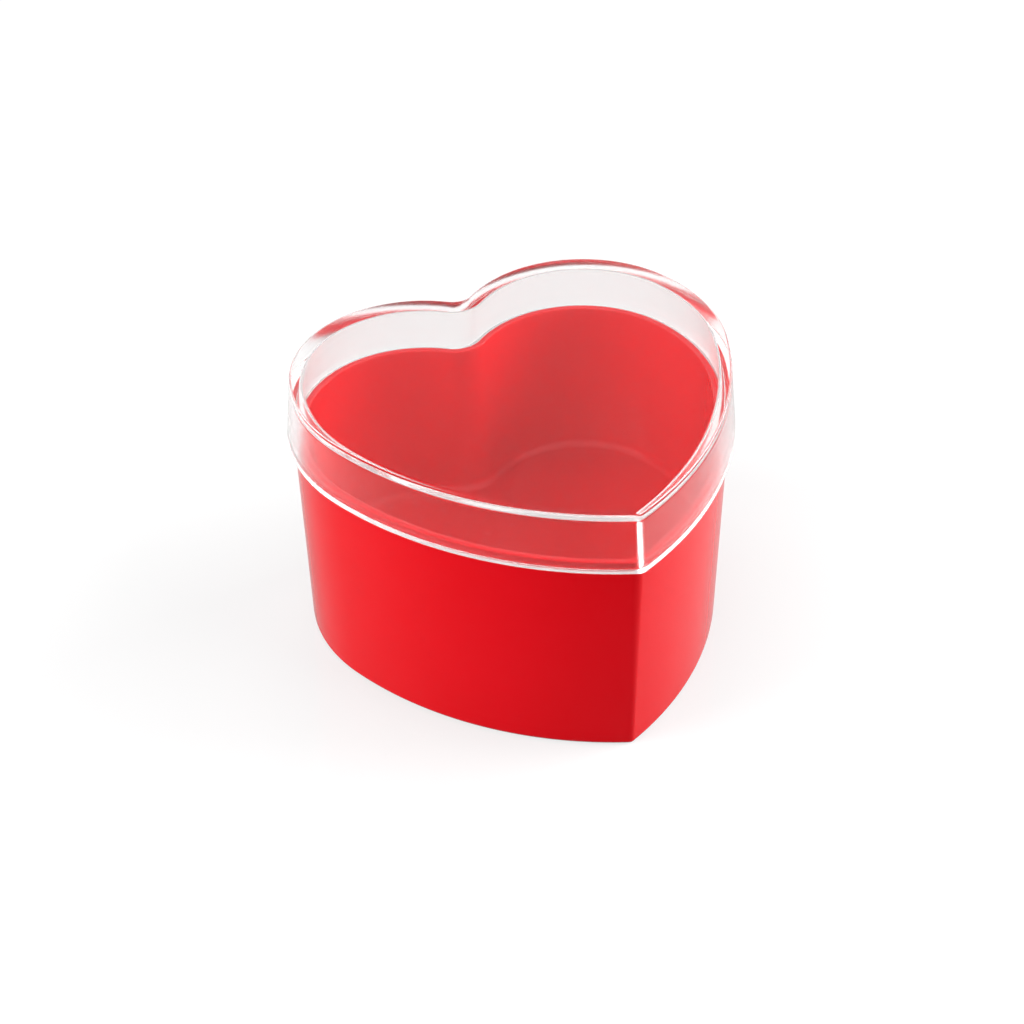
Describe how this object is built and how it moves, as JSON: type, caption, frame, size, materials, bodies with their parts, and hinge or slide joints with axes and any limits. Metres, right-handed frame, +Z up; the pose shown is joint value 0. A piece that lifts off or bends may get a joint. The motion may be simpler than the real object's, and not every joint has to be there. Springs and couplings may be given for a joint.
{
  "type": "heart-shaped gift box",
  "caption": "Heart-shaped gift box: opaque glossy tub with a drafted wall and raised floor, and a clear lid that lifts straight off its ledge.",
  "frame": {"origin": "on the table under the middle of the lid's width and length", "axes": "+Z up, +X across the two lobes, -Y towards the tip of the heart"},
  "size_m": [0.082, 0.0794, 0.0524],
  "materials": {
    "red_moulding": "glossy opaque red moulding",
    "clear_moulding": "clear glossy moulding"
  },
  "bodies": {
    "tub": {"heart_tub": "red_moulding"},
    "lid": {"clear_lid": "clear_moulding"}
  },
  "joints": [
    {"name": "lid_lift", "type": "slide", "parent": "tub", "child": "lid", "axis": [0, 0, 1], "range_m": [0, 0.06]}
  ]
}
